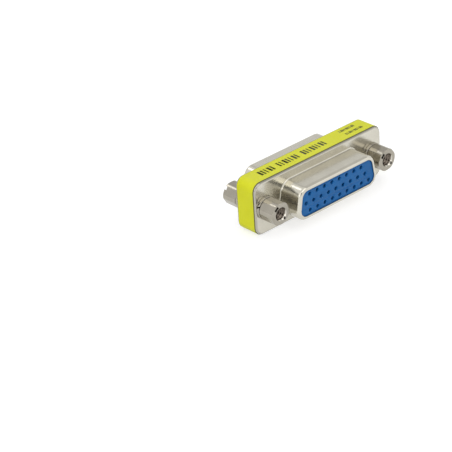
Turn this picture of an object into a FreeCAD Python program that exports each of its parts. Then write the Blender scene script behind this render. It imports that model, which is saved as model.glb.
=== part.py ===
import FreeCAD, Part
import math
import os
from FreeCAD import Vector

# Female to female gender changer with two 26-way high-density connectors, in millimetres.
# X runs along the long side, the front connector faces -Y, and Z is up.
# The origin is under the middle of the object, on the surface that it stands on.
# The rear half is the front half turned over about the X axis, so each pressing and moulding is used twice.

# Contact field: three rows, each staggered by half a pitch against the next
LONG_ROW_COUNT = 9
SHORT_ROW_COUNT = 8
PITCH = 2.29
ROW_PITCH = 1.98

# Metal shell: flange with a skirt, and a D-shaped hood drawn out of it round the contact field
# At its sharp corners the hood is 25.65 by 7.9, and the flange is 39.2 by 12.5
HOOD_PAST_CONTACT = 3.665
HOOD_PAST_ROW = 1.97
HOOD_SLANT = 10.0
HOOD_CORNER_R = 2.59
HOOD_REACH = 5.75
HOOD_WALL = 0.45
HOOD_BASE = 0.3
LIP_BEVEL = 0.48
LIP_EASE = 0.2
LIP_INSET = 0.9
FLANGE_PAST_JACK = 2.94
FLANGE_PAST_HOOD = 2.3
FLANGE_CORNER_R = 2.0
FLANGE_EDGE = 0.3
SHEET_T = 0.5
BODY_D = 6.0
SEAM_GAP = 0.06

# Jack hardware: number 4-40 thread, 33.32 between the two axes
JACK_PAST_HOOD = 3.835
JACK_AF = 5.0
JACK_BAR_R = 2.65
JACK_REACH = 4.85
JACK_FACE_STEP = 0.175
JACK_CHAMFER = 30.0
THREAD_R = 1.42
THREAD_DEPTH = 0.2
THREAD_FIT = 0.02
BORE_WEB = 1.15
STUD_GRIP = 1.5
STUD_TIP_GAP = 0.2
NOTCH_W = 0.8
NOTCH_D = 0.7
NOTCH_RING = 0.33
NOTCH_TURN = 14.0
JACK_HOLE_FIT = 0.38
WASHER_RIM = 0.2
WASHER_FIT = 0.31
WASHER_T = 0.7
WASHER_SPLIT = 0.35
WASHER_SPLIT_SLANT = 30.0

# Degrees that each piece stopped at when it was screwed down
JACK_TURNS = {"front_left": 137.6, "front_right": 137.0, "rear_left": 239.0, "rear_right": 247.0}
WASHER_TURNS = {"front_left": 158.0, "front_right": 335.0, "rear_left": 20.0, "rear_right": 335.0}

# Plastic insulator: D-shaped nose on a base tray, with a cavity for each contact
NOSE_FIT = 0.06
FACE_RECESS = 0.18
FACE_FIT = 0.03
TRAY_FIT = 0.1
TRAY_FLOOR = 1.0
TRAY_WALL = 1.4
TRAY_JOINT = 0.02
WELL_PAST_CONTACT = 3.04
ENTRY_R = 0.48
ENTRY_FLATS = 10
ENTRY_WEB = 1.0
CAVITY_W = 0.95
CAVITY_WALL = 0.42

# Contact: double-ended, bent from flat strip, two beams at each end with a coined bump near the tip
STRIP_T = 0.2
BEAM_SIDE_FIT = 0.075
BEAM_FIT = 0.1
BEAM_GAP = 0.6
TIP_FLARE = 0.42
TIP_LENGTH = 0.5
TIP_SETBACK = 0.15
ROOT_SETBACK = 0.25
NECK_W = 0.32
NECK_T = 0.3
NECK_GAP = 0.16

# Wrapped label: one strip of film round the skirts, lapped on the right-hand end
LABEL_T = 0.1
LABEL_FIT = 0.02
LABEL_FRONT = 0.45
LABEL_REAR = 0.45
LABEL_LAP = 3.2
LABEL_LAP_Z = 0.6

# How far a cutting solid runs past what it cuts, and how near two places are to count as the same
BEYOND = 1.0
NEAR = 1e-4

# Sizes that follow, from the contact field outwards
FIELD_W = (LONG_ROW_COUNT - 1) * PITCH
HOOD_WIDE = FIELD_W + 2 * HOOD_PAST_CONTACT
HOOD_H = 2 * (ROW_PITCH + HOOD_PAST_ROW)
JACK_X = HOOD_WIDE / 2 + JACK_PAST_HOOD
FLANGE_W = 2 * (JACK_X + FLANGE_PAST_JACK)
FLANGE_H = HOOD_H + 2 * FLANGE_PAST_HOOD
CAVITY_H = ROW_PITCH - CAVITY_WALL
STRIP_W = CAVITY_W - 2 * BEAM_SIDE_FIT
BEAM_SPREAD = CAVITY_H - 2 * BEAM_FIT
STUD_R = THREAD_R - THREAD_DEPTH
JACK_HOLE_R = STUD_R + JACK_HOLE_FIT
WASHER_BORE_R = STUD_R + WASHER_FIT
WASHER_R = JACK_AF / 2 + WASHER_RIM
JACK_CORNER_R = JACK_AF / math.sqrt(3)
JACK_FACE_R = JACK_AF / 2 - JACK_FACE_STEP

# Planes that follow, from the front inwards
MID_Z = FLANGE_H / 2 + LABEL_FIT + LABEL_T
FLANGE_Y = -BODY_D / 2
HOOD_Y = FLANGE_Y - HOOD_REACH
FACE_Y = HOOD_Y + FACE_RECESS
CAVITY_Y = FACE_Y + ENTRY_WEB
JACK_FOOT_Y = FLANGE_Y - WASHER_T
JACK_END_Y = FLANGE_Y - JACK_REACH
FLOOR_Y = FLANGE_Y + SHEET_T + TRAY_FLOOR
SKIRT_Y = -SEAM_GAP / 2
TRAY_Y = -TRAY_JOINT / 2
STUD_END_Y = -JACK_FOOT_Y + STUD_GRIP

# Rows of contacts seen from the front, as steps of the row pitch up from the middle
WIDE_SIDE, MIDDLE, NARROW_SIDE = -1, 0, 1


def row(count, shift):
    """X of each contact in a row, a pitch apart, with the shift that staggers it against the next row."""
    first = shift - FIELD_W / 2
    return [first + k * PITCH for k in range(count)]


def contact_places():
    """Each contact's x and row: one on the wide side in front is on the wide side behind too."""
    stagger = PITCH / 4
    places = [(x, WIDE_SIDE) for x in row(LONG_ROW_COUNT, stagger)]
    places += [(x, MIDDLE) for x in row(LONG_ROW_COUNT, -stagger)]
    places += [(x, NARROW_SIDE) for x in row(SHORT_ROW_COUNT, stagger)]
    return places


def rounded_outline(points, radius, y):
    """Closed wire through (x, z) corner points in the plane y, each corner rounded to the radius."""
    corners = [Vector(x, y, MID_Z + z) for x, z in points]
    starts, middles, ends = [], [], []
    for i, corner in enumerate(corners):
        back = (corners[i - 1] - corner).normalize()
        ahead = (corners[(i + 1) % len(corners)] - corner).normalize()
        half = back.getAngle(ahead) / 2
        reach = radius / math.tan(half)
        centre = corner + (back + ahead).normalize() * (radius / math.sin(half))
        starts.append(corner + back * reach)
        ends.append(corner + ahead * reach)
        middles.append(centre + (corner - centre).normalize() * radius)
    edges = []
    for i in range(len(corners)):
        edges.append(Part.Arc(starts[i], middles[i], ends[i]).toShape())
        edges.append(Part.makeLine(ends[i], starts[(i + 1) % len(corners)]))
    return Part.Wire(edges)


def rectangle(width, height):
    """Corner points of a rectangle about the middle."""
    w, h = width / 2, height / 2
    return [(-w, -h), (w, -h), (w, h), (-w, h)]


def d_points(inset):
    """Corner points of the hood's D shape, wide side down, moved inwards by the inset."""
    slant = math.radians(HOOD_SLANT)
    wide = HOOD_WIDE / 2 - inset / math.tan(math.pi / 4 - slant / 2)
    narrow = HOOD_WIDE / 2 - HOOD_H * math.tan(slant) - inset / math.tan(math.pi / 4 + slant / 2)
    h = HOOD_H / 2 - inset
    return [(-wide, -h), (wide, -h), (narrow, h), (-narrow, h)]


def prism(points, radius, y_start, y_end):
    """Solid between two planes across Y, with the rounded outline."""
    face = Part.Face(rounded_outline(points, radius, y_start))
    return face.extrude(Vector(0, y_end - y_start, 0))


def d_prism(inset, y_start, y_end):
    """Solid of the hood's D shape, moved inwards by the inset."""
    return prism(d_points(inset), HOOD_CORNER_R - inset, y_start, y_end)


def skirt_prism(outset, y_start, y_end):
    """Solid with the skirt's outline, moved outwards by the outset."""
    outline = rectangle(FLANGE_W + 2 * outset, FLANGE_H + 2 * outset)
    return prism(outline, FLANGE_CORNER_R + outset, y_start, y_end)


def cylinder(radius, x, z, y_start, y_end):
    """Round solid along Y, z measured from the middle."""
    return Part.makeCylinder(radius, y_end - y_start, Vector(x, y_start, MID_Z + z), Vector(0, 1, 0))


def cone(r_start, r_end, x, z, y_start, y_end):
    """Tapered round solid along Y, z measured from the middle."""
    base = Vector(x, y_start, MID_Z + z)
    return Part.makeCone(r_start, r_end, y_end - y_start, base, Vector(0, 1, 0))


def box(x, y_start, y_end, z, width, height):
    """Box centred on (x, z), z measured from the middle."""
    corner = Vector(x - width / 2, y_start, MID_Z + z - height / 2)
    return Part.makeBox(width, y_end - y_start, height, corner)


def edges_in_plane(solid, y):
    """Edges that lie in the plane y."""
    return [e for e in solid.Edges if max(abs(e.BoundBox.YMin - y), abs(e.BoundBox.YMax - y)) < NEAR]


def inside_hood(edge):
    """True for an edge that lies no further out than the hood, with its bevel."""
    centre = edge.CenterOfMass
    return abs(centre.x) < HOOD_WIDE / 2 + HOOD_BASE and abs(centre.z - MID_Z) < HOOD_H / 2 + HOOD_BASE + NEAR


def turned_over(shape):
    """The same piece turned half a turn about the X axis through the middle."""
    copy = shape.copy()
    copy.rotate(Vector(0, 0, MID_Z), Vector(1, 0, 0), 180)
    return copy


def turned(shape, x, degrees):
    """The piece turned about the jack axis at x."""
    shape.rotate(Vector(x, 0, MID_Z), Vector(0, 1, 0), degrees)
    return shape


def shell_block(sheet, hood_wall):
    """Solid bounded by one side of the sheet: the block behind the flange with the hood on it."""
    y_flange = FLANGE_Y + sheet
    block = skirt_prism(-sheet, y_flange, 0)
    return block.fuse(d_prism(hood_wall, HOOD_Y + hood_wall, y_flange)).removeSplitter()


def shell():
    """Drawn sheet shell: flange, skirt, and hood with a rounded, turned-in lip."""
    outside = shell_block(0, 0)
    outside = outside.makeChamfer(LIP_BEVEL, edges_in_plane(outside, HOOD_Y))
    for y in (HOOD_Y, HOOD_Y + LIP_BEVEL):
        outside = outside.makeChamfer(LIP_EASE, edges_in_plane(outside, y))
    flange_edges = edges_in_plane(outside, FLANGE_Y)
    outside = outside.makeChamfer(HOOD_BASE, [e for e in flange_edges if inside_hood(e)])
    flange_edges = edges_in_plane(outside, FLANGE_Y)
    outside = outside.makeChamfer(FLANGE_EDGE, [e for e in flange_edges if not inside_hood(e)])
    body = outside.cut(shell_block(SHEET_T, HOOD_WALL))
    body = body.cut(d_prism(LIP_INSET, HOOD_Y - BEYOND, HOOD_Y + HOOD_WALL + BEYOND))
    body = body.cut(box(0, SKIRT_Y, BEYOND, 0, FLANGE_W + BEYOND, FLANGE_H + BEYOND))
    for x in (-JACK_X, JACK_X):
        body = body.cut(cylinder(JACK_HOLE_R, x, 0, FLANGE_Y - BEYOND, FLANGE_Y + SHEET_T + BEYOND))
    return body.removeSplitter()


def contact_cavity(x, z):
    """Space for one contact: an entry of small flats, near enough round, then a chamber open behind."""
    turns = [2 * math.pi * k / ENTRY_FLATS for k in range(ENTRY_FLATS)]
    rim = [Vector(x + ENTRY_R * math.cos(t), FACE_Y, MID_Z + z + ENTRY_R * math.sin(t)) for t in turns]
    entry = Part.Face(Part.makePolygon(rim + rim[:1])).extrude(Vector(0, ENTRY_WEB, 0))
    chamber = box(x, CAVITY_Y, FLOOR_Y, z, CAVITY_W, CAVITY_H)
    return entry.fuse(chamber)


def insulator():
    """Moulded insulator: nose, step into the hood's mouth, base tray and contact cavities."""
    nose_y = HOOD_Y + HOOD_WALL + NOSE_FIT
    nose = d_prism(HOOD_WALL + NOSE_FIT, nose_y, FLOOR_Y)
    face = d_prism(LIP_INSET + FACE_FIT, FACE_Y, nose_y)
    tray_inset = SHEET_T + TRAY_FIT
    tray = skirt_prism(-tray_inset, FLANGE_Y + SHEET_T, TRAY_Y)
    body = tray.fuse([nose, face])
    well_w = FIELD_W + 2 * WELL_PAST_CONTACT
    well = box(0, FLOOR_Y, 0, 0, well_w, FLANGE_H - 2 * (tray_inset + TRAY_WALL))
    holes = [cylinder(JACK_HOLE_R, x, 0, FLANGE_Y, 0) for x in (-JACK_X, JACK_X)]
    cavities = [contact_cavity(x, place * ROW_PITCH) for x, place in contact_places()]
    return body.cut([well] + holes + cavities).removeSplitter()


def beam_profile():
    """Outline in (y, z) of the bent strip at the front end: the upper beam, then the lower one."""
    half = BEAM_SPREAD / 2
    tip = CAVITY_Y + TIP_SETBACK
    root = FLOOR_Y - ROOT_SETBACK
    pinch = tip + TIP_LENGTH
    grip = BEAM_GAP / 2
    inner = [(root - STRIP_T, half - STRIP_T), (pinch, grip), (tip, TIP_FLARE)]
    outer = [(tip, TIP_FLARE + STRIP_T), (root, half)]
    upper = inner + outer
    return upper + [(y, -z) for y, z in reversed(upper)]


def contact_end(x, z):
    """Front end of a contact: a strip bent to a U, its two beams pinched together near the tips."""
    points = [Vector(x - STRIP_W / 2, y, MID_Z + z + up) for y, up in beam_profile()]
    return Part.Face(Part.makePolygon(points + points[:1])).extrude(Vector(STRIP_W, 0, 0))


def contact_neck(x, place):
    """Strip that joins the two ends: straight in the middle row, and slanted past its partner elsewhere."""
    root = FLOOR_Y - ROOT_SETBACK
    x_neck = x + place * (NECK_W + NECK_GAP) / 2
    z_end = place * ROW_PITCH
    run = [(root, z_end), (FLOOR_Y, z_end), (-FLOOR_Y, -z_end), (-root, -z_end)]
    top = [Vector(x_neck - NECK_W / 2, y, MID_Z + z + NECK_T / 2) for y, z in run]
    bottom = [Vector(p.x, p.y, p.z - NECK_T) for p in reversed(top)]
    return Part.Face(Part.makePolygon(top + bottom + top[:1])).extrude(Vector(NECK_W, 0, 0))


def contact(x, place):
    """One double-ended contact."""
    front = contact_end(x, place * ROW_PITCH)
    rear = turned_over(front)
    return front.fuse([rear, contact_neck(x, place)]).removeSplitter()


def jack_blank(x):
    """Hexagonal blank that stands on the washer, its corners turned round and its outer end chamfered."""
    length = JACK_FOOT_Y - JACK_END_Y
    corners = []
    for k in range(6):
        turn = k * math.pi / 3
        corner = Vector(JACK_CORNER_R * math.cos(turn), 0, JACK_CORNER_R * math.sin(turn))
        corners.append(corner + Vector(x, JACK_END_Y, MID_Z))
    hexagon = Part.Face(Part.makePolygon(corners + corners[:1]))
    blank = hexagon.extrude(Vector(0, length, 0)).common(cylinder(JACK_BAR_R, x, 0, JACK_END_Y, JACK_FOOT_Y))
    foot_r = JACK_FACE_R + length / math.tan(math.radians(JACK_CHAMFER))
    return blank.common(cone(JACK_FACE_R, foot_r, x, 0, JACK_END_Y, JACK_FOOT_Y))


def driver_notches(x):
    """Two notches in the rim of the outer face for a driver, with a ring left standing round the bore."""
    floor_y = JACK_END_Y + NOTCH_D
    slot = box(x, JACK_END_Y, floor_y, 0, 2 * JACK_CORNER_R + BEYOND, NOTCH_W)
    notches = slot.cut(cylinder(THREAD_R + NOTCH_RING, x, 0, JACK_END_Y, floor_y))
    return turned(notches, x, NOTCH_TURN)


def jack_screw(x, degrees):
    """Front jack: hexagon with a blind threaded hole, and a stud that goes through the body."""
    stud = cylinder(STUD_R, x, 0, JACK_FOOT_Y, STUD_END_Y)
    bore = cylinder(THREAD_R, x, 0, JACK_END_Y, JACK_FOOT_Y - BORE_WEB)
    body = jack_blank(x).fuse(stud).cut([bore, driver_notches(x)])
    return turned(body.removeSplitter(), x, -degrees)


def jack_nut(x, degrees):
    """Rear jack: hexagon threaded right through, screwed on to the stud."""
    seat_y = -STUD_END_Y - STUD_TIP_GAP
    mouth = cylinder(THREAD_R, x, 0, JACK_END_Y, seat_y)
    seat = cylinder(STUD_R + THREAD_FIT, x, 0, seat_y, JACK_FOOT_Y)
    body = jack_blank(x).cut([mouth, seat, driver_notches(x)]).removeSplitter()
    return turned_over(turned(body, x, -degrees))


def lock_washer(x, degrees):
    """Split spring washer between the flange and the front jack."""
    ring = cylinder(WASHER_R, x, 0, JACK_FOOT_Y, FLANGE_Y)
    bore = cylinder(WASHER_BORE_R, x, 0, JACK_FOOT_Y, FLANGE_Y)
    split_w = WASHER_R + BEYOND
    split = box(x + split_w / 2, JACK_FOOT_Y - BEYOND, FLANGE_Y + BEYOND, 0, split_w, WASHER_SPLIT)
    middle_y = (JACK_FOOT_Y + FLANGE_Y) / 2
    split.rotate(Vector(x, middle_y, MID_Z), Vector(1, 0, 0), WASHER_SPLIT_SLANT)
    ring = ring.cut([bore, split])
    return turned(ring, x, -degrees)


def label():
    """Printed film wrapped once round the skirts, its ends lapped on the right-hand end."""
    y_start, y_end = FLANGE_Y + LABEL_FRONT, -FLANGE_Y - LABEL_REAR
    outset = LABEL_FIT + LABEL_T
    film = skirt_prism(outset, y_start, y_end).cut(skirt_prism(LABEL_FIT, y_start, y_end))
    lap_x = FLANGE_W / 2 + outset + LABEL_T / 2
    lap = box(lap_x, y_start, y_end, LABEL_LAP_Z, LABEL_T, LABEL_LAP)
    return film.fuse(lap).removeSplitter()


def build():
    """All pieces by node name."""
    front_shell = shell()
    front_insulator = insulator()
    pieces = {
        "front_shell": front_shell,
        "rear_shell": turned_over(front_shell),
        "front_insulator": front_insulator,
        "rear_insulator": turned_over(front_insulator),
        "label_wrap": label(),
    }
    for side, x in (("left", -JACK_X), ("right", JACK_X)):
        pieces["front_jack_screw_" + side] = jack_screw(x, JACK_TURNS["front_" + side])
        pieces["rear_jack_nut_" + side] = jack_nut(x, JACK_TURNS["rear_" + side])
        pieces["front_lock_washer_" + side] = lock_washer(x, WASHER_TURNS["front_" + side])
        pieces["rear_lock_washer_" + side] = turned_over(lock_washer(x, WASHER_TURNS["rear_" + side]))
    for number, (x, place) in enumerate(contact_places(), start=1):
        pieces["contact_%02d" % number] = contact(x, place)
    return pieces


def main():
    os.makedirs("parts", exist_ok=True)
    for name, shape in build().items():
        shape.exportStep(os.path.join("parts", name + ".step"))


main()
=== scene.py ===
import math

import bmesh
import bpy
from mathutils import Matrix, Vector, geometry


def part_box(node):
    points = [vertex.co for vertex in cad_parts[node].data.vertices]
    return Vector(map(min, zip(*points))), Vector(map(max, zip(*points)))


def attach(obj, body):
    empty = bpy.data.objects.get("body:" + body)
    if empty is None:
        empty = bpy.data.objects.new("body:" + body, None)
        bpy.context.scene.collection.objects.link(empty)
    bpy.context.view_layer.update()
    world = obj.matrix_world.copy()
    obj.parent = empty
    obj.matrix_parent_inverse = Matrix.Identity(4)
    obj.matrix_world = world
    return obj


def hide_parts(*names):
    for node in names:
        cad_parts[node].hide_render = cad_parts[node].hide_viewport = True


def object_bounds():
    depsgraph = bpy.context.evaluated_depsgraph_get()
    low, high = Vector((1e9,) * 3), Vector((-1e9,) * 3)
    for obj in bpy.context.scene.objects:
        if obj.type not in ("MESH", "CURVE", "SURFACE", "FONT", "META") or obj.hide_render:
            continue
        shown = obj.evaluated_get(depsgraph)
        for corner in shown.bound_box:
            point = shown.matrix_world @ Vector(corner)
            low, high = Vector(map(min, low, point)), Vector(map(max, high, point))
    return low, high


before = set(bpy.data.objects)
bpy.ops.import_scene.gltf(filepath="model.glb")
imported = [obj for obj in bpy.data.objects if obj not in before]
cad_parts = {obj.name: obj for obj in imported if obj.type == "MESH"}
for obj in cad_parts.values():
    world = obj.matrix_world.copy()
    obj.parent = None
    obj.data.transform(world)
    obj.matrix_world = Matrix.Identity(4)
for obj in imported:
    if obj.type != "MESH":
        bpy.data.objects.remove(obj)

# Looks of a D-sub gender changer. Points are worked out in millimetres in the part's frame,
# and go into the meshes in metres.
MM = 0.001
cad_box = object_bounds()


def size_of(node):
    """Lowest and highest corner of a CAD node, in millimetres."""
    low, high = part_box(node)
    return low / MM, high / MM


# Sizes that the frame gives
SHELL_LOW, SHELL_HIGH = size_of("front_shell")
WASHER_LOW, WASHER_HIGH = size_of("front_lock_washer_right")
JACK_LOW, JACK_HIGH = size_of("front_jack_screw_right")
MOULDING_LOW, MOULDING_HIGH = size_of("front_insulator")
LABEL_LOW, LABEL_HIGH = size_of("label_wrap")
MID_Z = (SHELL_LOW.z + SHELL_HIGH.z) / 2
FLANGE_W = SHELL_HIGH.x - SHELL_LOW.x
FLANGE_H = SHELL_HIGH.z - SHELL_LOW.z
HOOD_Y = SHELL_LOW.y
SKIRT_Y = SHELL_HIGH.y
FLANGE_Y = WASHER_HIGH.y
JACK_X = (WASHER_LOW.x + WASHER_HIGH.x) / 2
JACK_FOOT_Y = WASHER_LOW.y
JACK_END_Y = JACK_LOW.y
STUD_END_Y = JACK_HIGH.y
FACE_Y = MOULDING_LOW.y
TRAY_Y = MOULDING_HIGH.y

# Shell
SHEET_T = 0.5
FLANGE_INSIDE_Y = FLANGE_Y + SHEET_T
FLANGE_CORNER_R = 2.0
FLANGE_CORNER_STEPS = 10
FLANGE_EDGE_R = 0.42
FLANGE_EDGE_STEPS = 8
HOOD_WIDE = 25.65
HOOD_H = 7.9
HOOD_SLANT = math.radians(10)
HOOD_CORNER_R = 2.59
HOOD_CORNER_STEPS = 12
HOOD_WALL = 0.45
HOOD_BASE_R = 0.32
HOOD_BASE_STEPS = 8
LIP_R = 0.75
LIP_STEPS = 10
LIP_INSET = 0.9
LIP_EDGE_R = 0.08
LIP_EDGE_STEPS = 3
JACK_HOLE_R = 1.6
JACK_HOLE_STEPS = 40

# Moulding and its cavities
NOSE_INSET = 0.51
FACE_INSET = 0.93
FACE_EDGE_R = 0.12
FACE_EDGE_STEPS = 4
TRAY_INSET = 0.6
TRAY_WALL = 1.4
TRAY_FLOOR = 1.0
FLOOR_Y = FLANGE_INSIDE_Y + TRAY_FLOOR
WELL_W = 24.4
WELL_H = FLANGE_H - 2 * (TRAY_INSET + TRAY_WALL)
LONG_ROW = 9
SHORT_ROW = 8
PITCH = 2.29
ROW_PITCH = 1.98
ENTRY_R = 0.47
ENTRY_RIM = 0.09
ENTRY_RIM_STEPS = 4
ENTRY_WEB = 1.0
CAVITY_W = 0.95
CAVITY_H = 1.56
BORE_STEPS = 32

# Jacks and washers
JACK_AF = 5.0
JACK_FLAT_STEPS = 8
JACK_BAR_R = 2.65
JACK_BAR_STEPS = 4
JACK_EDGE_EASE = 0.06
JACK_FACE_R = 2.325
JACK_FACE_EASE = 0.07
JACK_FOOT_R = 2.3
JACK_CHAMFER = math.radians(30)
THREAD_R = 1.42
THREAD_DEPTH = 0.32
THREAD_PITCH = 0.635
# Rings to a turn of the thread, how flat its crests and roots are, and the share of the countersink's
# depth below which the crests begin
THREAD_STEPS = 9
THREAD_FLAT = 0.24
THREAD_START = 0.6
SINK_R = 1.6
SINK_DEPTH = 0.28
BORE_WEB = 1.15
STUD_TIP_GAP = 0.2
STUD_TIP_EASE = 0.2
SEAT_Y = -STUD_END_Y - STUD_TIP_GAP
SEAT_R = 1.24
STUD_R = 1.2
NOTCH_D = 0.7
NOTCH_ROUND_STEPS = 4
# Inner and outer radius and width of the two notches: the rear ones run out through the rim
FRONT_NOTCHES = ((1.74, 2.3, 1.15), (1.5, 1.94, 0.45))
REAR_NOTCHES = ((1.75, 4, 0.8), (1.75, 4, 0.8))
WASHER_R = 2.7
WASHER_BORE_R = 1.53
WASHER_EDGE = 0.12
WASHER_EDGE_STEPS = 3
WASHER_SPLIT = 0.35
WASHER_SPLIT_SLANT = math.radians(30)
WASHER_STEPS = 60
# Degrees that each piece stopped at when it was screwed down
JACK_TURNS = {"front_left": 113.6, "front_right": 125, "rear_left": 239, "rear_right": 247}
NOTCH_TURNS = {"front_left": 127, "front_right": 134, "rear_left": 225, "rear_right": 233}
WASHER_TURNS = {"front_left": 158, "front_right": 335, "rear_left": 20, "rear_right": 335}

# Label
LABEL_OUTSET = 0.12
LABEL_T = 0.1
LABEL_EDGE_R = 0.03
LABEL_EDGE_STEPS = 3
LAP_W = 3.2
LAP_Z = 0.6
# Width of the dark line along the label's cut edges, partly adhesive dirt and partly painted shade
GRIME_AND_SHADE_W = 0.12
INK_T = 0.01
# Runs of printed bars: where one starts in x and y, a bar's length, width and step, the bars in each
# group, and the space between groups
PRINT_RUNS = (
    (-15.1, -0.9, 2.0, 0.46, 0.92, (5, 7, 8), 1.0),
    (10.6, 0.72, 0.84, 0.32, 0.54, (9,), 0),
    (10.9, -1.12, 0.84, 0.32, 0.54, (10,), 0),
)
BAR_WIDTHS = (0.75, 1, 1.35)
BAR_SHUFFLE = 5

# Materials: roughness and usual span of every noise, tone of the painted shade on the flange's rounded edge
# as a share of the plating's dark tone, the shares of their width in which that shade and the label's dark
# edge line come in, and how ragged that line's border is, in millimetres. The edge line is partly adhesive
# dirt, partly painted shade
NOISE_ROUGHNESS = 0.55
NOISE_SPAN = (0.3, 0.7)
EDGE_SHADE = 0.72
EDGE_BLEND = 0.5
GRIME_AND_SHADE_BLEND = 0.6
GRIME_AND_SHADE_RAGGED = 0.06

# How far a cutting body runs past what it cuts, how near a face's middle may come to a border and still
# count as inside it, and how sharp an edge shows as one
BEYOND = 1
BORDER = 0.01
SHARP_EDGE = math.radians(32)

# Camera: its way from the point that it looks at, its roll, its distance, that point, its lens, and how
# near in metres it sees
VIEW_AZIMUTH = math.radians(40.866)
VIEW_ELEVATION = math.radians(29.047)
VIEW_ROLL = math.radians(-3.953)
VIEW_DISTANCE = 414.17
VIEW_TARGET = Vector((-17.815, 9.084, -2.248))
LENS = 148.57
SENSOR_W = 36
CLIP_START = 0.01

# Studio, in metres: brightness of matt things under the surround alone, and the glow added to the floor
# where it is seen
AMBIENT = 0.75
FLOOR_SIZE = 5
FLOOR_GLOW = 0.64
LAMP_DISTANCE = 0.5
# Lamps: way, size, glow of their face, colour, and whether matt things and metal take their light
LAMPS = (
    ("key", (0.1, -0.66, 0.8), 0.3, 1.0, (1, 0.99, 0.97), True, True),
    ("fill", (-0.9, -0.1, 0.3), 0.4, 1.7, (0.98, 0.99, 1), True, False),
    ("back", (0.35, 0.75, 0.5), 0.4, 0.5, (1, 1, 1), True, False),
    ("front_box", (0.62, -0.7, 0.36), 0.26, 0.3, (1, 0.99, 0.97), False, True),
    ("left_box", (-0.81, -0.38, 0.52), 0.28, 1.5, (1, 1, 1), False, True),
    ("upper_box", (-0.36, -0.66, 0.68), 0.18, 1.6, (1, 1, 1), False, True),
    ("edge_box", (-0.16, 0.66, 0.73), 0.1, 2, (1, 1, 1), False, True),
)
# Cards that only metal mirrors: way, distance, width, height, and grey. The first is the dark of the camera
CARDS = (
    ("camera_card", (-0.572, -0.661, 0.4855), 0.36, 0.17, 0.17, 0.03),
    ("back_card", (0.4, 0.75, 0.22), 0.7, 1.6, 0.55, 0.84),
    ("arch_card", (0.572, 0, 0.82), 0.7, 1.6, 0.42, 0.68),
)
CARD_UNEVEN = 0.04


def rounded_ring(corners, radius, y, steps):
    """Points round a convex polygon of (x, z) corners, each rounded to the radius, in the plane y."""
    points = []
    count = len(corners)
    for i in range(count):
        corner = Vector(corners[i])
        back = (Vector(corners[i - 1]) - corner).normalized()
        ahead = (Vector(corners[(i + 1) % count]) - corner).normalized()
        half = back.angle(ahead) / 2
        centre = corner + (back + ahead).normalized() * (radius / math.sin(half))
        first = corner + back * (radius / math.tan(half)) - centre
        sweep = math.pi - 2 * half
        for k in range(steps + 1):
            turn = Matrix.Rotation(sweep * k / steps, 2)
            spot = centre + turn @ first
            points.append((spot.x, y, MID_Z + spot.y))
    return points


def flange_ring(outset, y):
    """Outline of the flange and skirt, moved outwards by the outset."""
    w, h = FLANGE_W / 2 + outset, FLANGE_H / 2 + outset
    corners = [(-w, -h), (w, -h), (w, h), (-w, h)]
    return rounded_ring(corners, FLANGE_CORNER_R + outset, y, FLANGE_CORNER_STEPS)


def d_ring(inset, y):
    """Outline of the hood's D shape, wide side down, moved inwards by the inset."""
    h = HOOD_H / 2 - inset
    wide = HOOD_WIDE / 2 - inset / math.tan(math.pi / 4 - HOOD_SLANT / 2)
    narrow = HOOD_WIDE / 2 - HOOD_H * math.tan(HOOD_SLANT)
    narrow -= inset / math.tan(math.pi / 4 + HOOD_SLANT / 2)
    corners = [(-wide, -h), (wide, -h), (narrow, h), (-narrow, h)]
    return rounded_ring(corners, HOOD_CORNER_R - inset, y, HOOD_CORNER_STEPS)


def circle(radius, x, z, y, turns):
    """Points of a circle about (x, z) at the angles in turns, in the plane y."""
    return [(x + radius * math.cos(t), y, MID_Z + z + radius * math.sin(t)) for t in turns]


def even_turns(count):
    """Angles of a whole turn, in equal steps."""
    return [2 * math.pi * k / count for k in range(count)]


def quarter(steps):
    """Angles of a quarter turn, both ends included."""
    return [math.pi / 2 * k / steps for k in range(steps + 1)]


def box_ring(x, z, width, height, y):
    """Four corners of a rectangle about (x, z), in the plane y."""
    w, h = width / 2, height / 2
    return [(x + i * w, y, MID_Z + z + j * h) for i, j in ((-1, -1), (1, -1), (1, 1), (-1, 1))]


class Skin:
    """A surface made of rings of points in millimetres, joined by bands and filled planes."""

    def __init__(self):
        self.points = []
        self.faces = []

    def ring(self, points):
        """Adds a ring of points, and returns their places among the skin's points."""
        start = len(self.points)
        self.points.extend(points)
        return list(range(start, start + len(points)))

    def band(self, a, b):
        """Joins two rings that have as many points as each other."""
        count = len(a)
        for i in range(count):
            j = (i + 1) % count
            self.faces.append((a[i], a[j], b[j], b[i]))

    def bands(self, rings):
        """Joins each ring of points to the next, and returns the first and the last ring."""
        made = [self.ring(points) for points in rings]
        for a, b in zip(made, made[1:]):
            self.band(a, b)
        return made[0], made[-1]

    def fill(self, *loops):
        """Fills the plane inside the first ring and outside the others."""
        flat = [[(self.points[i][0], self.points[i][2], 0) for i in loop] for loop in loops]
        order = [i for loop in loops for i in loop]
        for a, b, c in geometry.tessellate_polygon(flat):
            self.faces.append((order[a], order[b], order[c]))

    def cap(self, first, last):
        """Closes the two ends of a row of rings with a face each."""
        self.faces.append(tuple(reversed(first)))
        self.faces.append(tuple(last))


def turned_over(points):
    """The points turned half a turn about the long axis, as the rear half is to the front half."""
    return [(x, -y, 2 * MID_Z - z) for x, y, z in points]


def make_mesh(name, points, faces):
    """Object in metres with its normals outwards."""
    mesh = bpy.data.meshes.new(name)
    mesh.from_pydata([(x * MM, y * MM, z * MM) for x, y, z in points], [], faces)
    build = bmesh.new()
    build.from_mesh(mesh)
    bmesh.ops.remove_doubles(build, verts=build.verts, dist=1e-9)
    bmesh.ops.recalc_face_normals(build, faces=build.faces)
    build.to_mesh(mesh)
    build.free()
    made = bpy.data.objects.new(name, mesh)
    bpy.context.scene.collection.objects.link(made)
    return made


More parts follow.
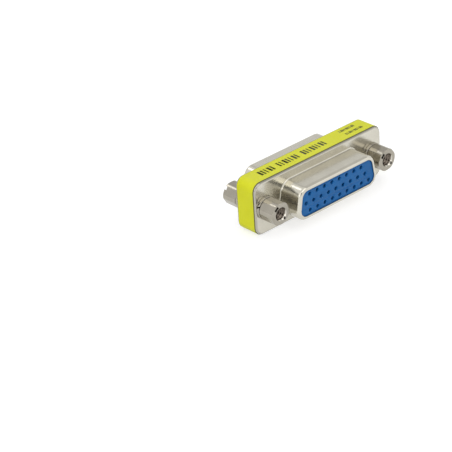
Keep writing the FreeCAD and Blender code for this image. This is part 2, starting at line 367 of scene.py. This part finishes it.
def finish_piece(piece, material):
    """Gives a mesh its shading, smooth but for its sharp edges, its material and its body."""
    mesh = piece.data
    mesh.materials.clear()
    mesh.materials.append(material)
    mesh.polygons.foreach_set("use_smooth", [True] * len(mesh.polygons))
    mesh.set_sharp_from_angle(angle=SHARP_EDGE)
    weighted = piece.modifiers.new("weighted_normals", "WEIGHTED_NORMAL")
    weighted.keep_sharp = True
    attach(piece, "root")


# Materials

class Graph:
    """Short names for building a node material about one Principled shader."""

    def __init__(self, name):
        self.material = bpy.data.materials.new(name)
        self.material.use_nodes = True
        self.nodes = self.material.node_tree.nodes
        self.links = self.material.node_tree.links
        self.shader = self.nodes["Principled BSDF"]
        self.place = self.nodes.new("ShaderNodeTexCoord").outputs["Object"]

    def link(self, output, socket):
        """Joins an output to a socket."""
        self.links.new(output, socket)

    def scaled(self, scale):
        """Place on the object in metres, times the scale."""
        node = self.nodes.new("ShaderNodeMapping")
        node.inputs["Scale"].default_value = scale
        self.link(self.place, node.inputs["Vector"])
        return node.outputs["Vector"]

    def noise(self, scale, detail):
        """Noise that repeats about scale times in a metre, or along each axis if scale has three numbers."""
        node = self.nodes.new("ShaderNodeTexNoise")
        if isinstance(scale, (int, float)):
            scale = (scale, scale, scale)
        self.link(self.scaled(scale), node.inputs["Vector"])
        node.inputs["Scale"].default_value = 1
        node.inputs["Detail"].default_value = detail
        node.inputs["Roughness"].default_value = NOISE_ROUGHNESS
        return node.outputs["Fac"]

    def ramp(self, value, dark, light, span=NOISE_SPAN):
        """Colour that goes from dark to light over the span of the value."""
        node = self.nodes.new("ShaderNodeValToRGB")
        for element, position, colour in zip(node.color_ramp.elements, span, (dark, light)):
            element.position = position
            element.color = (*colour, 1)
        self.link(value, node.inputs["Fac"])
        return node.outputs["Color"]

    def spread(self, value, low, high):
        """The noise value mapped from its usual span to low..high."""
        node = self.nodes.new("ShaderNodeMapRange")
        node.inputs["From Min"].default_value = NOISE_SPAN[0]
        node.inputs["From Max"].default_value = NOISE_SPAN[1]
        node.inputs["To Min"].default_value = low
        node.inputs["To Max"].default_value = high
        self.link(value, node.inputs["Value"])
        return node.outputs["Result"]

    def bump(self, value, strength, distance, after=None):
        """Relief of the value, whose height is the distance in metres, on top of the relief after."""
        node = self.nodes.new("ShaderNodeBump")
        node.inputs["Strength"].default_value = strength
        node.inputs["Distance"].default_value = distance
        self.link(value, node.inputs["Height"])
        if after:
            self.link(after, node.inputs["Normal"])
        return node.outputs["Normal"]

    def sum(self, operation, value, other, third=None):
        """The operation on numbers and outputs, of which only MULTIPLY_ADD takes a third."""
        node = self.nodes.new("ShaderNodeMath")
        node.operation = operation
        for socket, term in zip(node.inputs, (value, other, third)):
            if isinstance(term, (int, float)):
                socket.default_value = term
            elif term is not None:
                self.link(term, socket)
        return node.outputs["Value"]

    def clamp(self, value):
        """The value kept from 0 to 1."""
        node = self.nodes.new("ShaderNodeClamp")
        self.link(value, node.inputs["Value"])
        return node.outputs["Result"]

    def mix(self, share, colour, other):
        """The colour, and the other plain colour where the share is 1."""
        node = self.nodes.new("ShaderNodeMix")
        node.data_type = "RGBA"
        self.link(share, node.inputs["Factor"])
        # The node has a socket A, B and Result for each data type, so its colour sockets go by number
        self.link(colour, node.inputs[6])
        node.inputs[7].default_value = (*other, 1)
        return node.outputs[2]

    def finish(self, colour, rough, normal=None):
        """Joins what was built to the shader, and returns the material."""
        self.link(colour, self.shader.inputs["Base Color"])
        self.link(rough, self.shader.inputs["Roughness"])
        if normal:
            self.link(normal, self.shader.inputs["Normal"])
        return self.material


def nickel(name, dark, light, rough, marks, edge_shaded=False):
    """Nickel plating: warm grey, a little uneven, with fine marks, so many in a metre along each axis."""
    graph = Graph(name)
    graph.shader.inputs["Metallic"].default_value = 0.93
    colour = graph.ramp(graph.noise(260, 4), dark, light)
    # Painted shade: the flange's rounded edge and the skirt are darkened
    if edge_shaded:
        colour = graph.mix(flange_edge_shade(graph), colour, tuple(c * EDGE_SHADE for c in dark))
    grain = graph.noise(marks, 2)
    sheen = graph.spread(graph.noise(900, 3), rough[0], rough[1])
    wave = graph.bump(graph.noise(420, 2), strength=0.12, distance=0.00006)
    relief = graph.bump(grain, strength=0.1, distance=0.00001, after=wave)
    return graph.finish(colour, sheen, relief)


def flange_edge_shade(graph):
    """Mask of the painted shade: 1 on the rounded edge of the flange and on the skirt, 0 inside the edge."""
    place = graph.nodes.new("ShaderNodeSeparateXYZ")
    graph.link(graph.place, place.inputs["Vector"])
    reach = []
    for axis, middle, size in (("X", 0, FLANGE_W), ("Z", MID_Z, FLANGE_H)):
        from_middle = graph.sum("ABSOLUTE", graph.sum("SUBTRACT", place.outputs[axis], middle * MM), 0)
        past = graph.sum("SUBTRACT", from_middle, (size / 2 - FLANGE_CORNER_R) * MM)
        reach.append(graph.sum("MAXIMUM", past, 0))
    square = graph.sum("MULTIPLY_ADD", reach[1], reach[1], graph.sum("MULTIPLY", reach[0], reach[0]))
    out = graph.sum("SUBTRACT", graph.sum("SQRT", square, 0), (FLANGE_CORNER_R - FLANGE_EDGE_R) * MM)
    return graph.clamp(graph.sum("DIVIDE", out, FLANGE_EDGE_R * MM * EDGE_BLEND))


def blue_plastic():
    """Satin blue moulding with a faintly uneven face."""
    graph = Graph("blue_plastic")
    graph.shader.inputs["Specular IOR Level"].default_value = 0.25
    colour = graph.ramp(graph.noise(500, 4), dark=(0.009, 0.13, 0.385), light=(0.014, 0.157, 0.45))
    rough = graph.spread(graph.noise(1500, 3), 0.36, 0.48)
    relief = graph.bump(graph.noise(2600, 3), strength=0.15, distance=0.00002)
    return graph.finish(colour, rough, relief)


def yellow_film():
    """Film with a slightly uneven yellow and a dark line along its two cut edges, partly adhesive dirt and
    partly painted shade where the film meets the shell.
    """
    graph = Graph("yellow_film")
    graph.shader.inputs["Specular IOR Level"].default_value = 0.15
    yellow = graph.ramp(graph.noise(180, 4), dark=(0.66, 0.67, 0.016), light=(0.71, 0.72, 0.024))
    place = graph.nodes.new("ShaderNodeSeparateXYZ")
    graph.link(graph.place, place.inputs["Vector"])
    centre, half = (LABEL_LOW.y + LABEL_HIGH.y) / 2 * MM, (LABEL_HIGH.y - LABEL_LOW.y) / 2 * MM
    shift = graph.sum("SUBTRACT", place.outputs["Y"], centre)
    edge = graph.sum("SUBTRACT", graph.sum("ABSOLUTE", shift, 0), half - GRIME_AND_SHADE_W * MM)
    ragged = graph.sum("MULTIPLY_ADD", graph.noise(3000, 2), GRIME_AND_SHADE_RAGGED * MM, edge)
    grime_and_shade = graph.sum("DIVIDE", ragged, GRIME_AND_SHADE_W * MM * GRIME_AND_SHADE_BLEND)
    # Dark line along the cut edges: partly adhesive dirt, partly painted shade where the film meets the shell
    colour = graph.mix(graph.clamp(grime_and_shade), yellow, (0.19, 0.18, 0.05))
    rough = graph.spread(graph.noise(700, 3), 0.34, 0.46)
    relief = graph.bump(graph.noise(900, 3), strength=0.12, distance=0.00003)
    return graph.finish(colour, rough, relief)


def ink():
    """Dull dark ink."""
    graph = Graph("ink")
    clouds = graph.noise(2500, 4)
    colour = graph.ramp(clouds, dark=(0.045, 0.047, 0.02), light=(0.09, 0.093, 0.03), span=(0.35, 0.7))
    return graph.finish(colour, graph.spread(graph.noise(3000, 2), 0.5, 0.65))


def gold():
    """Gold flash on the contacts."""
    graph = Graph("gold_flash")
    graph.shader.inputs["Metallic"].default_value = 1
    colour = graph.ramp(graph.noise(1200, 3), dark=(0.72, 0.5, 0.17), light=(0.83, 0.6, 0.24))
    return graph.finish(colour, graph.spread(graph.noise(2600, 3), 0.22, 0.36))


SHELL_NICKEL = nickel(
    "shell_nickel", dark=(0.585, 0.56, 0.482), light=(0.645, 0.62, 0.535), rough=(0.16, 0.23),
    marks=(900, 90, 900), edge_shaded=True)
JACK_NICKEL = nickel(
    "jack_nickel", dark=(0.34, 0.316, 0.263), light=(0.40, 0.372, 0.315), rough=(0.14, 0.22),
    marks=(140, 3000, 140))
# Painted shade: darker nickel for the jacks' bores and driver notches
RECESS_SHADE_NICKEL = nickel(
    "recess_shade_nickel", dark=(0.08, 0.065, 0.05), light=(0.26, 0.22, 0.18), rough=(0.2, 0.34),
    marks=(900, 900, 900))
# Painted highlight: brighter nickel on the countersinks at the bore mouths
SINK_HIGHLIGHT_NICKEL = nickel(
    "sink_highlight_nickel", dark=(0.54, 0.51, 0.45), light=(0.64, 0.61, 0.54), rough=(0.16, 0.24),
    marks=(900, 900, 900))
BLUE = blue_plastic()
YELLOW = yellow_film()
INK = ink()
GOLD = gold()


# Shell

def shell_skin():
    """One drawn shell, outside and inside, as a closed skin."""
    skin = Skin()
    turns = even_turns(JACK_HOLE_STEPS)
    outside = [flange_ring(0, SKIRT_Y)]
    for t in quarter(FLANGE_EDGE_STEPS):
        outset = FLANGE_EDGE_R * (math.cos(t) - 1)
        outside.append(flange_ring(outset, FLANGE_Y + FLANGE_EDGE_R * (1 - math.sin(t))))
    skirt_end, flange_rim = skin.bands(outside)

    hood = []
    for t in quarter(HOOD_BASE_STEPS):
        inset = HOOD_BASE_R * (math.sin(t) - 1)
        hood.append(d_ring(inset, FLANGE_Y - HOOD_BASE_R * (1 - math.cos(t))))
    for t in quarter(LIP_STEPS):
        hood.append(d_ring(LIP_R * (1 - math.cos(t)), HOOD_Y + LIP_R * (1 - math.sin(t))))
    for t in quarter(LIP_EDGE_STEPS):
        inset = LIP_INSET - LIP_EDGE_R * (1 - math.sin(t))
        hood.append(d_ring(inset, HOOD_Y + LIP_EDGE_R * (1 - math.cos(t))))
    hood.append(d_ring(LIP_INSET, HOOD_Y + HOOD_WALL))
    hood.append(d_ring(HOOD_WALL, HOOD_Y + HOOD_WALL))
    hood.append(d_ring(HOOD_WALL, FLANGE_INSIDE_Y))
    hood_base, hood_inside = skin.bands(hood)

    inside = [flange_ring(-SHEET_T, y) for y in (SKIRT_Y, FLANGE_INSIDE_Y)]
    skirt_inside, flange_inside = skin.bands(inside)
    skin.band(skirt_end, skirt_inside)
    front_holes, rear_holes = [], []
    for x in (-JACK_X, JACK_X):
        edges = [circle(JACK_HOLE_R, x, 0, y, turns) for y in (FLANGE_Y, FLANGE_INSIDE_Y)]
        front, rear = skin.bands(edges)
        front_holes.append(front)
        rear_holes.append(rear)
    skin.fill(flange_rim, hood_base, *front_holes)
    skin.fill(flange_inside, hood_inside, *rear_holes)
    return skin


# Moulding

def contact_places():
    """Centre (x, z) of each contact, seen from the front, z measured from the middle."""
    stagger = PITCH / 4
    rows = ((LONG_ROW, stagger, -ROW_PITCH), (LONG_ROW, -stagger, 0), (SHORT_ROW, stagger, ROW_PITCH))
    middle = (LONG_ROW - 1) / 2
    return [((k - middle) * PITCH + shift, z) for count, shift, z in rows for k in range(count)]


def moulding_skin():
    """One insulator: nose, base tray, and a cavity for each contact with a round entry."""
    skin = Skin()
    turns = even_turns(BORE_STEPS)
    nose_y = HOOD_Y + NOSE_INSET
    front = []
    for t in reversed(quarter(FACE_EDGE_STEPS)):
        inset = FACE_INSET + FACE_EDGE_R * (1 - math.sin(t))
        front.append(d_ring(inset, FACE_Y + FACE_EDGE_R * (1 - math.cos(t))))
    front.append(d_ring(FACE_INSET, nose_y))
    front.append(d_ring(NOSE_INSET, nose_y))
    front.append(d_ring(NOSE_INSET, FLANGE_INSIDE_Y))
    face_rim, nose_base = skin.bands(front)
    tray_front, tray_back = skin.bands([flange_ring(-TRAY_INSET, y) for y in (FLANGE_INSIDE_Y, TRAY_Y)])
    well_mouth, well_floor = skin.bands([box_ring(0, 0, WELL_W, WELL_H, y) for y in (TRAY_Y, FLOOR_Y)])
    bores = []
    for x in (-JACK_X, JACK_X):
        bores.append(skin.bands([circle(JACK_HOLE_R, x, 0, y, turns) for y in (FLANGE_INSIDE_Y, TRAY_Y)]))
    skin.fill(tray_front, nose_base, *[bore[0] for bore in bores])
    skin.fill(tray_back, well_mouth, *[bore[1] for bore in bores])

    entries, chambers = [], []
    cavity_y = FACE_Y + ENTRY_WEB
    for x, z in contact_places():
        entry = []
        for t in quarter(ENTRY_RIM_STEPS):
            radius = ENTRY_R + ENTRY_RIM * (1 - math.sin(t))
            entry.append(circle(radius, x, z, FACE_Y + ENTRY_RIM * (1 - math.cos(t)), turns))
        entry.append(circle(ENTRY_R, x, z, cavity_y, turns))
        mouth, bottom = skin.bands(entry)
        near, far = skin.bands([box_ring(x, z, CAVITY_W, CAVITY_H, y) for y in (cavity_y, FLOOR_Y)])
        skin.fill(near, bottom)
        entries.append(mouth)
        chambers.append(far)
    skin.fill(face_rim, *entries)
    skin.fill(well_floor, *chambers)
    return skin


# Jacks

def hexagon():
    """Points (angle, radius) round the hexagon, whose corners are turned to the round of the bar."""
    half = JACK_AF / 2
    flat_end = math.sqrt(JACK_BAR_R ** 2 - half ** 2) - JACK_EDGE_EASE
    arc_start = math.acos(half / JACK_BAR_R) + JACK_EDGE_EASE / JACK_BAR_R
    outline = []
    for normal in (math.pi / 6 + t for t in even_turns(6)):
        for k in range(JACK_FLAT_STEPS + 1):
            along = flat_end * (2 * k / JACK_FLAT_STEPS - 1)
            outline.append((normal + math.atan2(along, half), math.hypot(along, half)))
        for k in range(JACK_BAR_STEPS + 1):
            arc = arc_start + (math.pi / 3 - 2 * arc_start) * k / JACK_BAR_STEPS
            outline.append((normal + arc, JACK_BAR_R))
    return outline


def thread_ring(x, y, turns):
    """A slice through a jack's thread at y, its crests fading in below the countersink."""
    fade = min(1, max(0, (y - JACK_END_Y - SINK_DEPTH * THREAD_START) / THREAD_PITCH))
    points = []
    for t in turns:
        phase = (y / THREAD_PITCH - t / (2 * math.pi)) % 1
        ridge = min(1, max(0, (1 - abs(2 * phase - 1)) * (1 + THREAD_FLAT) - THREAD_FLAT / 2))
        radius = THREAD_R - THREAD_DEPTH * ridge * fade
        points.append((x + radius * math.cos(t), y, MID_Z + radius * math.sin(t)))
    return points


def cone_ring(outline, x, y, slope, cone_r):
    """The hexagon's outline where it meets a chamfer cone, whose radius is cone_r at y."""
    return [(x + r * math.cos(t), y + slope * (r - cone_r), MID_Z + r * math.sin(t)) for t, r in outline]


def jack_skin(x, degrees, with_stud):
    """Hexagonal jack seen from the front: face, thread and chamfers, with a stud or a through bore."""
    skin = Skin()
    turn = math.radians(degrees)
    outline = [(t + turn, r) for t, r in hexagon()]
    turns = [t for t, r in outline]
    bottom_y = JACK_FOOT_Y - BORE_WEB if with_stud else SEAT_Y
    rows = round((bottom_y - JACK_END_Y - SINK_DEPTH) / THREAD_PITCH * THREAD_STEPS)
    rings = []
    for k in range(rows + 1):
        y = bottom_y + (JACK_END_Y + SINK_DEPTH - bottom_y) * k / rows
        rings.append(thread_ring(x, y, turns))
    slope = math.tan(JACK_CHAMFER)
    rings.append(circle(SINK_R, x, 0, JACK_END_Y, turns))
    rings.append(circle(JACK_FACE_R - JACK_FACE_EASE, x, 0, JACK_END_Y, turns))
    rings.append(circle(JACK_FACE_R, x, 0, JACK_END_Y + JACK_FACE_EASE * slope / 2, turns))
    rings.append(cone_ring(outline, x, JACK_END_Y, slope, JACK_FACE_R))
    rings.append(cone_ring(outline, x, JACK_FOOT_Y, -slope, JACK_FOOT_R))
    rings.append(circle(JACK_FOOT_R, x, 0, JACK_FOOT_Y, turns))
    if with_stud:
        rings.append(circle(STUD_R, x, 0, JACK_FOOT_Y, turns))
        rings.append(circle(STUD_R, x, 0, STUD_END_Y - STUD_TIP_EASE, turns))
        rings.append(circle(STUD_R - STUD_TIP_EASE, x, 0, STUD_END_Y, turns))
        first, last = skin.bands(rings)
        skin.fill(first)
        skin.fill(last)
    else:
        rings.append(circle(SEAT_R, x, 0, JACK_FOOT_Y, turns))
        rings.append(circle(SEAT_R, x, 0, SEAT_Y, turns))
        first, last = skin.bands(rings)
        skin.band(last, first)
    return skin


def notch_cutter(x, degrees, over):
    """The space of the two notches in a jack's end: a block on each side, round towards the bore."""
    skin = Skin()
    steps = range(-NOTCH_ROUND_STEPS, NOTCH_ROUND_STEPS + 1)
    for k, (inner, outer, width) in enumerate(REAR_NOTCHES if over else FRONT_NOTCHES):
        turn = math.radians(degrees) + math.pi * k
        half = math.asin(width / 2 / inner)
        round_side = [half * j / NOTCH_ROUND_STEPS for j in steps]
        outline = [(inner * math.cos(t), inner * math.sin(t)) for t in round_side]
        outline += [(outer, width / 2), (outer, -width / 2)]
        rings = []
        for y in (JACK_END_Y - BEYOND, JACK_END_Y + NOTCH_D):
            rings.append([(
                x + a * math.cos(turn) - b * math.sin(turn), y,
                MID_Z + a * math.sin(turn) + b * math.cos(turn)) for a, b in outline])
        near, far = skin.bands(rings)
        skin.fill(near)
        skin.fill(far)
    points = turned_over(skin.points) if over else skin.points
    return make_mesh("notch_cutter", points, skin.faces)


def cut_notches(piece, x, degrees, over):
    """Cuts the two driver notches into the rim of a jack."""
    cutter = notch_cutter(x, degrees, over)
    cut = piece.modifiers.new("notches", "BOOLEAN")
    cut.object = cutter
    cut.operation = "DIFFERENCE"
    cut.solver = "EXACT"
    bpy.context.view_layer.update()
    done = bpy.data.meshes.new_from_object(piece.evaluated_get(bpy.context.evaluated_depsgraph_get()))
    piece.modifiers.clear()
    piece.data = done
    bpy.data.objects.remove(cutter)


def make_jack(name, skin, x, degrees, over):
    """Makes a jack with its driver notches cut at the turn given, painted shade in its bore and notches, and
    a painted highlight on its countersink.
    """
    points = turned_over(skin.points) if over else skin.points
    piece = make_mesh(name, points, skin.faces)
    cut_notches(piece, x, degrees, over)
    finish_piece(piece, JACK_NICKEL)
    piece.data.materials.append(RECESS_SHADE_NICKEL)
    piece.data.materials.append(SINK_HIGHLIGHT_NICKEL)
    recess_shade, sink_highlight = 1, 2
    turn = math.radians(degrees)
    notches = REAR_NOTCHES if over else FRONT_NOTCHES
    bore_depth = JACK_FOOT_Y - JACK_END_Y - BORE_WEB
    for face in piece.data.polygons:
        centre = face.center / MM
        side, depth, height = centre.x - x, centre.y - JACK_END_Y, centre.z - MID_Z
        if over:
            depth, height = -centre.y - JACK_END_Y, -height
        along = side * math.cos(turn) + height * math.sin(turn)
        across = abs(height * math.cos(turn) - side * math.sin(turn))
        from_middle = math.hypot(side, height)
        inner, outer, width = notches[0 if along > 0 else 1]
        in_bore = from_middle < THREAD_R and depth < bore_depth
        in_notch = (
            inner - BORDER < from_middle and abs(along) < outer + BORDER
            and across < width / 2 + BORDER and 2 * BORDER < depth < NOTCH_D + BORDER)
        # Painted shade in the bore and the notches
        if in_notch or in_bore:
            face.material_index = recess_shade
        # Painted highlight on the countersink
        elif from_middle < SINK_R and depth < SINK_DEPTH:
            face.material_index = sink_highlight
    return piece


def washer_skin(x, degrees):
    """Split lock washer: a rounded section swept from one side of the split to the other."""
    skin = Skin()
    corners = (
        (WASHER_R, FLANGE_Y), (WASHER_BORE_R, FLANGE_Y),
        (WASHER_BORE_R, JACK_FOOT_Y), (WASHER_R, JACK_FOOT_Y))
    section = []
    for k, (radius, y) in enumerate(corners):
        in_r = -1 if radius == WASHER_R else 1
        in_y = -1 if y == FLANGE_Y else 1
        for t in quarter(WASHER_EDGE_STEPS):
            turn = t if k % 2 == 0 else math.pi / 2 - t
            section.append((
                radius + in_r * WASHER_EDGE * (1 - math.cos(turn)),
                y + in_y * WASHER_EDGE * (1 - math.sin(turn))))
    middle_y = (FLANGE_Y + JACK_FOOT_Y) / 2
    rings = []
    for k in range(WASHER_STEPS + 1):
        ring = []
        for radius, y in section:
            lean = (y - middle_y) * math.tan(WASHER_SPLIT_SLANT)
            gap = WASHER_SPLIT / 2 / radius
            start = lean / radius + gap
            t = math.radians(degrees) + start + (2 * math.pi - 2 * gap) * k / WASHER_STEPS
            ring.append((x + radius * math.cos(t), y, MID_Z + radius * math.sin(t)))
        rings.append(ring)
    first, last = skin.bands(rings)
    skin.cap(first, last)
    return skin


# Label

def label_skin():
    """The film round the skirts, with eased edges."""
    skin = Skin()
    inner = LABEL_OUTSET - LABEL_T
    y0, y1, r = LABEL_LOW.y, LABEL_HIGH.y, LABEL_EDGE_R
    rings = [flange_ring(inner, y0)]
    for t in quarter(LABEL_EDGE_STEPS):
        rings.append(flange_ring(LABEL_OUTSET - r * (1 - math.sin(t)), y0 + r * (1 - math.cos(t))))
    for t in reversed(quarter(LABEL_EDGE_STEPS)):
        rings.append(flange_ring(LABEL_OUTSET - r * (1 - math.sin(t)), y1 - r * (1 - math.cos(t))))
    rings.append(flange_ring(inner, y1))
    first, last = skin.bands(rings)
    skin.band(last, first)
    return skin


def plate(skin, low, high, ease):
    """Adds a thin plate, its upper edges eased, between its lowest and highest corner, c being its height."""
    (a0, b0, c0), (a1, b1, c1) = low, high
    rings = []
    for inset, c in ((0, c0), (0, c1 - ease), (ease, c1)):
        rings.append([
            (a0 + inset, b0 + inset, c), (a1 - inset, b0 + inset, c),
            (a1 - inset, b1 - inset, c), (a0 + inset, b1 - inset, c)])
    first, last = skin.bands(rings)
    skin.cap(first, last)


def lap_skin():
    """The label's free end, on the right-hand end of the body."""
    skin = Skin()
    x = FLANGE_W / 2 + LABEL_OUTSET
    low, high = LAP_Z - LAP_W / 2, LAP_Z + LAP_W / 2
    plate(skin, (LABEL_LOW.y, low, 0), (LABEL_HIGH.y, high, LABEL_T), LABEL_EDGE_R)
    skin.points = [(x + c, a, MID_Z + b) for a, b, c in skin.points]
    return skin


def print_skin():
    """Printed marks on the label's top: plain bars in the places of the print."""
    skin = Skin()
    top = LABEL_HIGH.z
    for x, y, length, width, step, groups, space in PRINT_RUNS:
        for count in groups:
            for k in range(count):
                wide = width * BAR_WIDTHS[(k * BAR_SHUFFLE + count) % len(BAR_WIDTHS)]
                plate(skin, (x, y, top - INK_T), (x + wide, y + length, top), INK_T / 2)
                x += step
            x += space
    return skin


def add(name, skin, material, node=None, over=False):
    """Makes a piece from a skin, turned over if it belongs to the rear half, in place of a CAD node."""
    points = turned_over(skin.points) if over else skin.points
    piece = make_mesh(name, points, skin.faces)
    finish_piece(piece, material)
    if node:
        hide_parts(node)


def build_object():
    """Makes every piece that takes a CAD node's place, and gives the contacts, which stay, their look."""
    for half, over in (("front", False), ("rear", True)):
        add(half + "_shell_skin", shell_skin(), SHELL_NICKEL, half + "_shell", over)
        add(half + "_moulding", moulding_skin(), BLUE, half + "_insulator", over)
        kind = "_jack_nut_" if over else "_jack_screw_"
        for side, x in (("left", -JACK_X), ("right", JACK_X)):
            place = half + "_" + side
            skin = jack_skin(x, JACK_TURNS[place], with_stud=not over)
            jack = make_jack(half + "_jack_" + side, skin, x, NOTCH_TURNS[place], over)
            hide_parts(half + kind + side)
            washer = washer_skin(x, WASHER_TURNS[place])
            node = half + "_lock_washer_" + side
            add(half + "_washer_" + side, washer, JACK_NICKEL, node, over)
    add("label_film", label_skin(), YELLOW, "label_wrap")
    add("label_lap", lap_skin(), YELLOW)
    add("label_marks", print_skin(), INK)
    for name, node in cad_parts.items():
        if name.startswith("contact_"):
            node.data.materials.clear()
            node.data.materials.append(GOLD)


# Floor, light and camera

def where_seen(tree):
    """1 for what the camera, mirrors and clear things see, and 0 for the light on matt things."""
    path = tree.nodes.new("ShaderNodeLightPath")
    value = path.outputs["Is Camera Ray"]
    for name in ("Is Glossy Ray", "Is Transmission Ray"):
        either = tree.nodes.new("ShaderNodeMath")
        either.operation = "MAXIMUM"
        tree.links.new(value, either.inputs[0])
        tree.links.new(path.outputs[name], either.inputs[1])
        value = either.outputs["Value"]
    return value


def surround():
    """World that is white where it is seen, and lights matt things a little less."""
    world = bpy.data.worlds.new("studio")
    bpy.context.scene.world = world
    world.use_nodes = True
    tree = world.node_tree
    tree.nodes.clear()
    mix = tree.nodes.new("ShaderNodeMixShader")
    tree.links.new(where_seen(tree), mix.inputs["Fac"])
    for socket, colour, strength in ((1, (0.98, 0.99, 1, 1), AMBIENT), (2, (1, 1, 1, 1), 1)):
        around = tree.nodes.new("ShaderNodeBackground")
        around.inputs["Color"].default_value = colour
        around.inputs["Strength"].default_value = strength
        tree.links.new(around.outputs["Background"], mix.inputs[socket])
    out = tree.nodes.new("ShaderNodeOutputWorld")
    tree.links.new(mix.outputs["Shader"], out.inputs["Surface"])


def stage_plane(name, width, height, spot, material):
    """Flat piece of the studio that faces the object, or upwards where it lies under it."""
    mesh = bpy.data.meshes.new(name)
    w, h = width / 2, height / 2
    mesh.from_pydata([(-w, -h, 0), (w, -h, 0), (w, h, 0), (-w, h, 0)], [], [(0, 1, 2, 3)])
    mesh.materials.append(material)
    plane = bpy.data.objects.new(name, mesh)
    bpy.context.scene.collection.objects.link(plane)
    plane.location = spot
    return plane


def facing_object(spot):
    """Turn of a card or lamp at the spot that makes it face the object."""
    return (-Vector(spot)).to_track_quat("-Z", "Y").to_euler()


def floor():
    """Pale floor under the object, which glows where it is seen."""
    paper = Graph("floor_paper")
    paper.shader.inputs["Specular IOR Level"].default_value = 0.1
    tone = paper.ramp(paper.noise(6, 2), dark=(0.5, 0.5, 0.5), light=(0.52, 0.52, 0.52))
    paper.finish(tone, paper.spread(paper.noise(30, 2), 0.6, 0.7))
    paper.link(where_seen(paper.material.node_tree), paper.shader.inputs["Emission Strength"])
    paper.shader.inputs["Emission Color"].default_value = (FLOOR_GLOW, FLOOR_GLOW, FLOOR_GLOW, 1)
    stage_plane("floor", FLOOR_SIZE, FLOOR_SIZE, (0, 0, cad_box[0][2]), paper.material)


def cards():
    """Glowing cards, which only metal mirrors."""
    for name, way, distance, width, height, grey in CARDS:
        paper = Graph(name + "_paper")
        paper.shader.inputs["Specular IOR Level"].default_value = 0
        paper.shader.inputs["Base Color"].default_value = (0, 0, 0, 1)
        dark, light = grey * (1 - CARD_UNEVEN), grey * (1 + CARD_UNEVEN)
        tone = paper.ramp(paper.noise(8, 2), (dark, dark, dark), (light, light, light))
        paper.link(tone, paper.shader.inputs["Emission Color"])
        paper.shader.inputs["Emission Strength"].default_value = 1
        spot = Vector(way).normalized() * distance
        card = stage_plane(name, width, height, spot, paper.material)
        card.rotation_euler = facing_object(spot)
        card.visible_camera = False
        card.visible_diffuse = False
        card.visible_shadow = False


def lamps():
    """Soft square lamps, each for matt things, for metal or for both, as bright in metal as their glow."""
    for name, way, size, glow, colour, matt, mirrored in LAMPS:
        lamp = bpy.data.lights.new(name, "AREA")
        lamp.shape = "SQUARE"
        lamp.size = size
        lamp.energy = glow * math.pi * size * size
        lamp.color = colour
        stand = bpy.data.objects.new(name, lamp)
        bpy.context.scene.collection.objects.link(stand)
        spot = Vector(way).normalized() * LAMP_DISTANCE
        stand.location = spot
        stand.rotation_euler = facing_object(spot)
        stand.visible_diffuse = matt
        stand.visible_glossy = mirrored


def view_axes():
    """The camera's right, up and back directions."""
    back = Vector((
        -math.sin(VIEW_AZIMUTH) * math.cos(VIEW_ELEVATION),
        -math.cos(VIEW_AZIMUTH) * math.cos(VIEW_ELEVATION),
        math.sin(VIEW_ELEVATION)))
    right = Vector((math.cos(VIEW_AZIMUTH), -math.sin(VIEW_AZIMUTH), 0))
    up = back.cross(right)
    c, s = math.cos(VIEW_ROLL), math.sin(VIEW_ROLL)
    return c * right + s * up, c * up - s * right, back


def camera():
    """Camera at the photograph's viewing angle, level but for its small roll."""
    right, up, back = view_axes()
    data = bpy.data.cameras.new("camera")
    data.lens = LENS
    data.sensor_width = SENSOR_W
    data.clip_start = CLIP_START
    viewer = bpy.data.objects.new("camera", data)
    bpy.context.scene.collection.objects.link(viewer)
    place = (VIEW_TARGET + VIEW_DISTANCE * back) * MM
    turn = Matrix((right, up, back)).transposed().to_4x4()
    viewer.matrix_world = Matrix.Translation(place) @ turn
    bpy.context.scene.camera = viewer


build_object()
surround()
floor()
cards()
lamps()
camera()
bpy.context.scene.view_settings.view_transform = "Standard"
bpy.context.view_layer.update()
